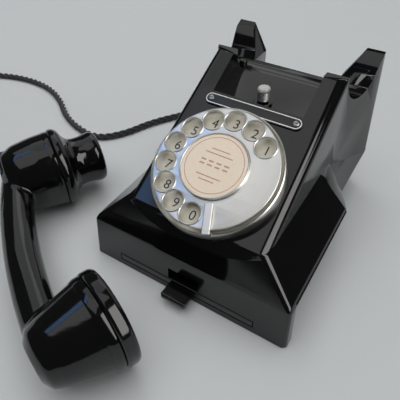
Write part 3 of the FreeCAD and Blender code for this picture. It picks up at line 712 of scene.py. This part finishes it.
def panel_plate(name, loops, span, edge):
    """A plate over the panel, cut out by closed loops, with rounded edges, from a filled curve."""
    z0, z1 = span
    curve = bpy.data.curves.new(name, "CURVE")
    curve.dimensions = "2D"
    curve.fill_mode = "BOTH"
    curve.extrude = (z1 - z0) / 2 - edge
    curve.bevel_depth = edge
    curve.bevel_resolution = PLATE_EDGE_STEPS
    curve.offset = -edge
    for loop in loops:
        spline = curve.splines.new("POLY")
        spline.points.add(len(loop) - 1)
        for point, (x, y) in zip(spline.points, loop):
            point.co = (x, y, 0, 1)
        spline.use_cyclic_u = True
    mesh = mesh_of(curve)
    with editing(mesh) as work:
        bmesh.ops.remove_doubles(work, verts=work.verts, dist=MERGE)
        face_outwards(work)
    mesh.transform(PANEL @ Matrix.Translation((0, 0, (z0 + z1) / 2)))
    shade(mesh, SOFT_CREASE)
    mesh.name = name
    return add_object(name, mesh)


def hole_spot(i):
    """Middle of a finger hole on the panel."""
    angle = HOLE_FIRST + HOLE_STEP * i
    return HOLE_PITCH_R * math.cos(angle), HOLE_PITCH_R * math.sin(angle)


def bead_ring_tree(material):
    """Geometry nodes: a bead round each of a row of holes on a circle."""
    tree = bpy.data.node_groups.new("Bead rings", "GeometryNodeTree")
    tree.interface.new_socket("Geometry", in_out="OUTPUT", socket_type="NodeSocketGeometry")
    tree.interface.new_socket("Count", in_out="INPUT", socket_type="NodeSocketInt")
    for label in ("Pitch radius", "First angle", "Step angle", "Hole radius", "Bead radius"):
        tree.interface.new_socket(label, in_out="INPUT", socket_type="NodeSocketFloat")
    given = tree.nodes.new("NodeGroupInput").outputs
    line = add_node(tree, "GeometryNodeMeshLine", {"Count": given["Count"]})
    index = add_node(tree, "GeometryNodeInputIndex")
    turn = add_node(tree, "ShaderNodeMath", {
        0: index.outputs["Index"], 1: given["Step angle"], 2: given["First angle"]}, operation="MULTIPLY_ADD")
    spot = add_node(tree, "ShaderNodeCombineXYZ")
    for operation, axis in (("COSINE", "X"), ("SINE", "Y")):
        part = add_node(tree, "ShaderNodeMath", {0: turn.outputs["Value"]}, operation=operation)
        reach = add_node(tree, "ShaderNodeMath", {0: part.outputs["Value"], 1: given["Pitch radius"]},
                         operation="MULTIPLY")
        feed(tree, spot, {axis: reach.outputs["Value"]})
    moved = add_node(tree, "GeometryNodeSetPosition", {
        "Geometry": line.outputs["Mesh"], "Position": spot.outputs["Vector"]})
    hole = add_node(tree, "GeometryNodeCurvePrimitiveCircle", {
        "Resolution": HOLE_SIDES, "Radius": given["Hole radius"]})
    bead = add_node(tree, "GeometryNodeCurvePrimitiveCircle", {
        "Resolution": BEAD_SIDES, "Radius": given["Bead radius"]})
    sweep = add_node(tree, "GeometryNodeCurveToMesh", {
        "Curve": hole.outputs["Curve"], "Profile Curve": bead.outputs["Curve"]})
    place = add_node(tree, "GeometryNodeInstanceOnPoints", {
        "Points": moved.outputs["Geometry"], "Instance": sweep.outputs["Mesh"]})
    whole = add_node(tree, "GeometryNodeRealizeInstances", {"Geometry": place.outputs["Instances"]})
    paint = add_node(tree, "GeometryNodeSetMaterial", {
        "Geometry": whole.outputs["Geometry"], "Material": material})
    add_node(tree, "NodeGroupOutput", {"Geometry": paint.outputs["Geometry"]})
    return tree


def bead_rings(name, finish, place, values):
    """Run the bead tree with its sizes and place the result."""
    tree = bead_ring_tree(finish_named(finish))
    piece = add_object(name, bpy.data.meshes.new(name))
    rings = piece.modifiers.new("rings", "NODES")
    rings.node_group = tree
    for item in tree.interface.items_tree:
        if item.in_out == "INPUT":
            rings[item.identifier] = values[item.name]
    bpy.context.view_layer.update()
    baked(piece)
    piece.data.transform(place)
    with editing(piece.data) as work:
        face_outwards(work)
    piece.data.shade_smooth()
    return piece


def figure_mesh(text):
    """A dial figure as a thin solid, centred on its origin."""
    font = bpy.data.curves.new("figure", "FONT")
    font.body = text
    font.size = FIGURE_SIZE
    font.extrude = FIGURE_DEPTH
    font.align_x = "CENTER"
    font.align_y = "CENTER"
    return mesh_of(font)


def joined(name, meshes):
    """One piece from several meshes, which are removed."""
    work = bmesh.new()
    for mesh in meshes:
        work.from_mesh(mesh)
        bpy.data.meshes.remove(mesh)
    return add_object(name, new_mesh(name, work))


# Cord

def spline_points(route):
    """Points read along the smooth spline that has the route as its control points."""
    curve = bpy.data.curves.new("route", "CURVE")
    curve.dimensions = "3D"
    curve.resolution_u = ROUTE_STEPS
    spline = curve.splines.new("NURBS")
    spline.points.add(len(route) - 1)
    for point, spot in zip(spline.points, route):
        point.co = (spot[0], spot[1], spot[2], 1)
    spline.order_u = ROUTE_ORDER
    spline.use_endpoint_u = True
    mesh = mesh_of(curve)
    points = [vertex.co.copy() for vertex in mesh.vertices]
    bpy.data.meshes.remove(mesh)
    return points


def coil_route():
    """Turns of the coil: a lower layer that winds in and an upper one that winds out."""
    points = []
    for i in range(1, int(COIL_TURNS * TURN_POINTS) + 1):
        turn = i / TURN_POINTS
        angle = math.radians(COIL_START) + FULL_TURN * turn
        r = COIL_R - COIL_STEP * min(turn, max(LAYERED_TURNS - turn, 0))
        rise = min(max((turn - CLIMB_START) / CLIMB_TURNS, 0), 1)
        z = LAYER_Z[0] + (LAYER_Z[1] - LAYER_Z[0]) * rise
        points.append((COIL_AT[0] + r * math.cos(angle), COIL_AT[1] + r * math.sin(angle), z))
    return points


def strands(name, path):
    """Strands laid round a path, with a UV map that runs along them."""
    count = sizes().strand_count
    lay = sizes().lay_length
    spread = CORD_R / (1 + math.sin(math.pi / count))
    thick = CORD_R - spread
    work = bmesh.new()
    uv = work.loops.layers.uv.new("UVMap")
    lengths = [0.0]
    for a, b in zip(path, path[1:]):
        lengths.append(lengths[-1] + (b - a).length)
    normal = Vector((0, 0, 1))
    frames = []
    for i, spot in enumerate(path):
        ahead = (path[min(i + 1, len(path) - 1)] - path[max(i - 1, 0)]).normalized()
        normal = (normal - ahead * normal.dot(ahead)).normalized()
        frames.append((spot, normal.copy(), ahead.cross(normal)))
    for s in range(count):
        before, behind = None, 0.0
        for (spot, up, side), run in zip(frames, lengths):
            angle = FULL_TURN * (run / lay + s / count)
            middle = spot + (up * math.cos(angle) + side * math.sin(angle)) * spread
            turns = [angle + FULL_TURN * k / WIRE_SIDES for k in range(WIRE_SIDES)]
            ring = [work.verts.new(middle + (up * math.cos(turn) + side * math.sin(turn)) * thick)
                    for turn in turns]
            if before:
                for k, face in enumerate(join_rings(work, before, ring)):
                    for loop, u, v in zip(face.loops, (behind, run, run, behind), (k, k, k + 1, k + 1)):
                        loop[uv].uv = (u / (FULL_TURN * thick), v / WIRE_SIDES)
            else:
                work.faces.new(ring)
            before, behind = ring, run
        work.faces.new(before[::-1])
    face_outwards(work)
    mesh = new_mesh(name, work)
    mesh.shade_smooth()
    return add_object(name, mesh)


class TELEPHONE_OT_stage(bpy.types.Operator):
    """Floor, light and the camera"""
    bl_idname = "telephone.stage"
    bl_label = "Stage"

    def execute(self, context):
        scene = context.scene
        scene.view_settings.view_transform = "Standard"
        self.make_camera(scene)
        self.make_floor()
        self.make_light(scene)
        return {"FINISHED"}

    def make_camera(self, scene):
        """Camera at the place that was solved for it."""
        back = Vector((math.sin(CAMERA_AZ) * math.cos(CAMERA_EL), -math.cos(CAMERA_AZ) * math.cos(CAMERA_EL),
                       math.sin(CAMERA_EL)))
        level = Vector((math.cos(CAMERA_AZ), math.sin(CAMERA_AZ), 0))
        rise = back.cross(level)
        right = level * math.cos(CAMERA_ROLL) + rise * math.sin(CAMERA_ROLL)
        up = back.cross(right)
        data = bpy.data.cameras.new("camera")
        data.sensor_width = SENSOR
        data.lens = FOCAL_PX / IMAGE_SIDE * SENSOR
        data.clip_start = CLIP_START
        camera = add_object("camera", data)
        camera.matrix_world = Matrix.Translation(CAMERA_AT) @ Matrix((right, up, back)).transposed().to_4x4()
        scene.camera = camera

    def make_floor(self):
        """A wide floor and a wall round it, with the wall kept out of reflections."""
        material, tree, shader = new_material("floor_paper")
        wear = add_handling(tree, 3.0, 0.7, 0.85)
        feed(tree, shader, {"Base Color": rgba(colours().floor), "Roughness": wear["Roughness"]})
        floor = lathe("floor", [(0, 0), (FLOOR_R, 0)], STAGE_STEPS, closed=False)
        cove = [(COVE_FOOT + COVE_R * math.sin(a), COVE_R - COVE_R * math.cos(a) + COVE_LIFT)
                for a in COVE_ANGLES]
        wall = lathe("backdrop", cove + [WALL_TOP], STAGE_STEPS, closed=False)
        wall.visible_glossy = False
        for piece in (floor, wall):
            piece.data.materials.append(material)

    def make_light(self, scene):
        """A dim world, and the lamps."""
        world = bpy.data.worlds.new("studio")
        world.use_nodes = True
        feed(world.node_tree, world.node_tree.nodes["Background"],
             {"Color": rgba(colours().floor), "Strength": WORLD_STRENGTH})
        scene.world = world
        for lamp in LAMPS:
            self.add_lamp(*lamp)

    def add_lamp(self, name, spot, target, size, radiance, colour, unseen_by):
        """A flat lamp of an even radiance, aimed at a point."""
        data = bpy.data.lights.new(name, "AREA")
        data.shape = "RECTANGLE"
        data.size = size[0]
        data.size_y = size[1]
        data.energy = radiance * math.pi * size[0] * size[1]
        data.color = colour
        lamp = add_object(name, data)
        aim = Vector(target) - Vector(spot)
        turn = aim.to_track_quat("-Z", "Y").to_matrix().to_4x4()
        lamp.matrix_world = Matrix.Translation(Vector(spot)) @ turn
        lamp.visible_camera = False
        if unseen_by:
            setattr(lamp, unseen_by, False)


class TELEPHONE_OT_cord(bpy.types.Operator):
    """Plaited handset cord with its spare length in a tied coil"""
    bl_idname = "telephone.cord"
    bl_label = "Cord"

    def execute(self, context):
        route = [Vector(spot) * MM for spot in RUN + coil_route()]
        path = spline_points(route)
        cord = dress(strands("handset_cord_plait", path), "cord", "base", ["handset_cord", "cord_coil"])
        tie = soft_piece("cord_tie", "coil_tie", "cord", "base")

        gland = HANDSET @ GLAND
        back = HANDSET.to_3x3() @ Vector((0, -1, 0))
        lead = [route[-1]] + [Vector(spot) * MM for spot in LEAD]
        lead += [gland + back * behind * MM - Vector(shift) * MM for behind, shift in LEAD_END]
        lead_path = spline_points(lead)
        piece = strands("handset_cord_end", lead_path)
        piece.data.materials.append(finish_named("cord"))
        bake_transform(piece)
        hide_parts("handset_cord_lead")
        return {"FINISHED"}


class TELEPHONE_OT_case(bpy.types.Operator):
    """Moulded case, drawer and base"""
    bl_idname = "telephone.case"
    bl_label = "Case"

    def execute(self, context):
        case = softened("case_shell", "moulded_case", sizes().case_edge, CASE_EDGE_STEPS, plinth_edge)
        dress(case, "black_moulding", "base", ["case_shell"])
        soft_piece("drawer_tray", "index_drawer", "black_moulding", "drawer")
        soft_piece("drawer_pull", "index_drawer_pull", "black_moulding", "drawer")
        soft_piece("base_pad", "foot_pad", "rubber", "base")
        soft_piece("cord_grommet", "cord_outlet", "rubber", "base")
        return {"FINISHED"}


class TELEPHONE_OT_dial(bpy.types.Operator):
    """Finger wheel, number ring, centre card and finger stop"""
    bl_idname = "telephone.dial"
    bl_label = "Dial"

    def execute(self, context):
        self.make_wheel()
        soft_piece("finger_stop", "steel_finger_stop", "bright_steel", "base")
        rim = lathe("dial_rim", in_metres(RIM), WHEEL_STEPS, PANEL)
        dress(rim, "bright_steel", "base", ["dial_case"])
        self.make_centre()
        self.make_numbers()
        return {"FINISHED"}

    def make_wheel(self):
        """Finger wheel with its hub and the rolled rims of its holes."""
        loops = [circle(WHEEL_R, steps=WHEEL_STEPS)]
        loops += [circle(HOLE_R, *hole_spot(i), HOLE_SIDES) for i in range(HOLE_COUNT)]
        wheel = panel_plate("steel_finger_wheel", loops, WHEEL_Z, WHEEL_EDGE)
        dress(wheel, "bright_steel", "dial", ["finger_wheel"])
        hub = lathe("finger_wheel_hub", eased(in_metres(HUB), HUB_EASE), place=PANEL)
        dress(hub, "bright_steel", "dial")
        bead = sizes().hole_bead
        place = PANEL @ Matrix.Translation((0, 0, WHEEL_Z[1]))
        beads = bead_rings("finger_hole_rims", "bright_steel", place, {
            "Count": HOLE_COUNT, "Pitch radius": HOLE_PITCH_R, "First angle": HOLE_FIRST,
            "Step angle": HOLE_STEP, "Hole radius": HOLE_R + bead * BEAD_OUT, "Bead radius": bead})
        dress(beads, "bright_steel", "dial")

    def make_centre(self):
        """Bezel, card with plain marks, and its clear cover."""
        ring = lathe("card_bezel", eased(in_metres(BEZEL), BEZEL_EASE), place=PANEL)
        dress(ring, "bright_steel", "dial", ["centre_ring"])
        card = lathe("number_card", in_metres(CARD), place=PANEL)
        dress(card, "card", "dial", ["centre_card"])
        loops = [circle(r * MM) for r in PRINT_RINGS]
        loops += [pill(half * MM, LINE_R, y * MM) for half, y in PRINT_LINES]
        loops += [pill(DASH_HALF, DASH_R, y * MM, x * MM) for x in DASH_X for y in DASH_Y]
        marks = panel_plate("card_marks", loops, PRINT_Z, PRINT_EDGE)
        dress(marks, "red_print", "dial")
        window = lathe("card_cover", eased(in_metres(COVER), COVER_EASE), place=PANEL)
        dress(window, "window", "dial", ["card_window"])

    def make_numbers(self):
        """Number plate and the figures on it."""
        plate = lathe("number_plate", eased(in_metres(NUMBER_PLATE), NUMBER_PLATE_EASE), place=PANEL)
        dress(plate, "ivory", "base", ["number_ring"])
        figures = []
        for i in range(HOLE_COUNT):
            figure = figure_mesh(str((i + 1) % 10))
            figure.transform(PANEL @ Matrix.Translation((*hole_spot(i), NUMBER_TOP * MM + FIGURE_LIFT)))
            figures.append(figure)
        dress(joined("dial_figures", figures), "dark_ink", "base")


class TELEPHONE_OT_label(bpy.types.Operator):
    """Bare label plate with its white line and screws"""
    bl_idname = "telephone.label"
    bl_label = "Label plate"

    def execute(self, context):
        plate = panel_plate("bare_label", [pill(LABEL_HALF, LABEL_R, LABEL_S)], LABEL_Z, LABEL_EDGE)
        dress(plate, "label_black", "base", ["label_plate"])
        loops = [pill(LABEL_HALF - inset, LABEL_R - inset, LABEL_S) for inset in LINE_INSETS]
        line = panel_plate("label_line", loops, LINE_Z, FINE_EDGE)
        dress(line, "white_line", "base")
        screws = []
        for x in (-SCREW_X, SCREW_X):
            place = PANEL @ Matrix.Translation((x, LABEL_S, 0))
            screw = lathe("screw", in_metres(SCREW), SCREW_STEPS, place)
            screws.append(screw.data.copy())
            bpy.data.objects.remove(screw)
        heads = joined("label_plate_screws", screws)
        shade(heads.data, TURNED_CREASE)
        dress(heads, "plain_steel", "base", ["label_screws"])
        # The slots are not cut: thin plates in the dark ink finish lie over the screw heads as painted shade of
        # the slots
        loops = [pill(SLOT_HALF, SLOT_R, LABEL_S, x) for x in (-SCREW_X, SCREW_X)]
        slots = panel_plate("label_screw_slots", loops, SLOT_Z, FINE_EDGE)
        dress(slots, "dark_ink", "base")
        return {"FINISHED"}


class TELEPHONE_OT_button(bpy.types.Operator):
    """Mushroom call button on the deck"""
    bl_idname = "telephone.button"
    bl_label = "Call button"

    def execute(self, context):
        low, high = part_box("call_button")
        place = Matrix.Translation(((low.x + high.x) / 2, (low.y + high.y) / 2, 0))
        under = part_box("button_spring")[1].z + SPRING_ROOM
        outline = [(r * MM, start + z * MM) for start, points in ((under, BUTTON_UNDER), (high.z, BUTTON_TOP))
                   for r, z in points]
        head = lathe("white_call_button", eased(outline, BUTTON_EASE), BUTTON_STEPS, place)
        dress(head, "white_button", "button", ["call_button"])
        end = under + STEM_INSIDE
        outline = [(0, low.z), (STEM_R, low.z), (STEM_R, end), (0, end)]
        stem = lathe("call_button_stem", outline, STEM_STEPS, place)
        dress(stem, "black_moulding", "button")
        soft_piece("button_bush", "button_collar", "black_moulding", "base")
        return {"FINISHED"}


class TELEPHONE_OT_handset(bpy.types.Operator):
    """Handset: grip, ear cap and mouthpiece"""
    bl_idname = "telephone.handset"
    bl_label = "Handset"

    def execute(self, context):
        grip = node_copy("handset_handle", "handset_grip")
        remesh = grip.modifiers.new("even", "REMESH")
        remesh.mode = "VOXEL"
        remesh.voxel_size = sizes().handset_voxel
        smooth = grip.modifiers.new("flow", "SMOOTH")
        smooth.factor = GRIP_FLOW
        smooth.iterations = GRIP_PASSES
        baked(grip)
        grip.data.shade_smooth()
        dress(grip, "black_moulding", "handset", ["handset_handle"])

        place = self.head_place(1, EAR_TILT)
        self.make_cap("handset_ear_cap", EAR_CAP, place, "ear_cap")
        self.make_collar("ear_cup_collar", place)
        self.make_sound_holes("ear_cap_holes", place, *EAR_HOLES)
        place = self.head_place(-1, MOUTH_TILT)
        self.make_cap("handset_mouthpiece", MOUTHPIECE, place, "mouthpiece")
        self.make_collar("mouth_cup_collar", place)
        self.make_sound_holes("mouthpiece_holes", place, *MOUTH_HOLES)

        soft_piece("handset_gland", "handset_cord_gland", "rubber", "handset")
        return {"FINISHED"}

    def head_place(self, end, tilt):
        """Axes of the cap at one end of the grip: Z out of the cap."""
        turn = Matrix.Rotation(tilt, 4, "Z") @ Matrix.Rotation(math.radians(-90), 4, "X")
        return HANDSET @ Matrix.Translation((HEAD_U * end, 0, 0)) @ turn

    def make_cap(self, name, outline, place, node):
        """Cap that screws on to a cup."""
        cap = lathe(name, eased(in_metres(outline), CAP_EASE), TURNED_STEPS, place)
        dress(cap, "black_moulding", "handset", [node])

    def make_collar(self, name, place):
        """Moulded rim of a cup, under its cap."""
        collar = lathe(name, in_metres(COLLAR), TURNED_STEPS, place)
        dress(collar, "black_moulding", "handset")

    def make_sound_holes(self, name, place, count, reach, height):
        """A ring of sound holes, its radius and height in millimetres."""
        rims = bead_rings(name, "dark_ink", place @ Matrix.Translation((0, 0, height * MM)), {
            "Count": count, "Pitch radius": reach * MM, "First angle": 0.0, "Step angle": FULL_TURN / count,
            "Hole radius": SOUND_HOLE_R, "Bead radius": SOUND_BEAD_R})
        dress(rims, "dark_ink", "handset")


class TELEPHONE_OT_works(bpy.types.Operator):
    """Plungers, wound springs, and finishes for the solids that stay as they are"""
    bl_idname = "telephone.works"
    bl_label = "Works"

    def execute(self, context):
        soft_piece("cradle_plungers", "cradle_pins", "black_moulding", "cradle", PLUNGER_EDGE_STEPS)
        for node, joint, wire in SPRINGS:
            low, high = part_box(node)
            spring = dress(wound_spring(node + "_coil", low, high, wire), "plain_steel", "base", [node])
            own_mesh(spring)
        slots = {part["node"]: part["material_slot"] for part in frame["record"]["subparts"]}
        for name, node in frame["nodes"].items():
            if not node.hide_render:
                node.data.materials.clear()
                node.data.materials.append(finish_named(slots[name]))
        return {"FINISHED"}


class TELEPHONE_PT_panel(bpy.types.Panel):
    """The telephone's pieces and sizes"""
    bl_label = "Telephone"
    bl_idname = "TELEPHONE_PT_panel"
    bl_space_type = "VIEW_3D"
    bl_region_type = "UI"
    bl_category = "Telephone"

    def draw(self, context):
        for operator in OPERATORS:
            self.layout.operator(operator.bl_idname)
        for group in (context.scene.telephone_sizes, context.scene.telephone_colours):
            for name in group.__annotations__:
                self.layout.prop(group, name)


OPERATORS = (TELEPHONE_OT_stage, TELEPHONE_OT_cord, TELEPHONE_OT_case, TELEPHONE_OT_dial, TELEPHONE_OT_label,
             TELEPHONE_OT_button, TELEPHONE_OT_handset, TELEPHONE_OT_works)
CLASSES = (TelephoneSizes, TelephoneColours) + OPERATORS + (TELEPHONE_PT_panel,)


def register():
    """Register the classes, and the settings with the scene."""
    for item in CLASSES:
        bpy.utils.register_class(item)
    bpy.types.Scene.telephone_sizes = bpy.props.PointerProperty(type=TelephoneSizes)
    bpy.types.Scene.telephone_colours = bpy.props.PointerProperty(type=TelephoneColours)


def unregister():
    """Take back what register did."""
    del bpy.types.Scene.telephone_colours
    del bpy.types.Scene.telephone_sizes
    for item in reversed(CLASSES):
        bpy.utils.unregister_class(item)


def main():
    """Register the classes and make every piece in order."""
    register()
    bpy.ops.telephone.stage()
    bpy.ops.telephone.cord()
    bpy.ops.telephone.case()
    bpy.ops.telephone.dial()
    bpy.ops.telephone.label()
    bpy.ops.telephone.button()
    bpy.ops.telephone.handset()
    bpy.ops.telephone.works()


if __name__ == "__main__":
    main()
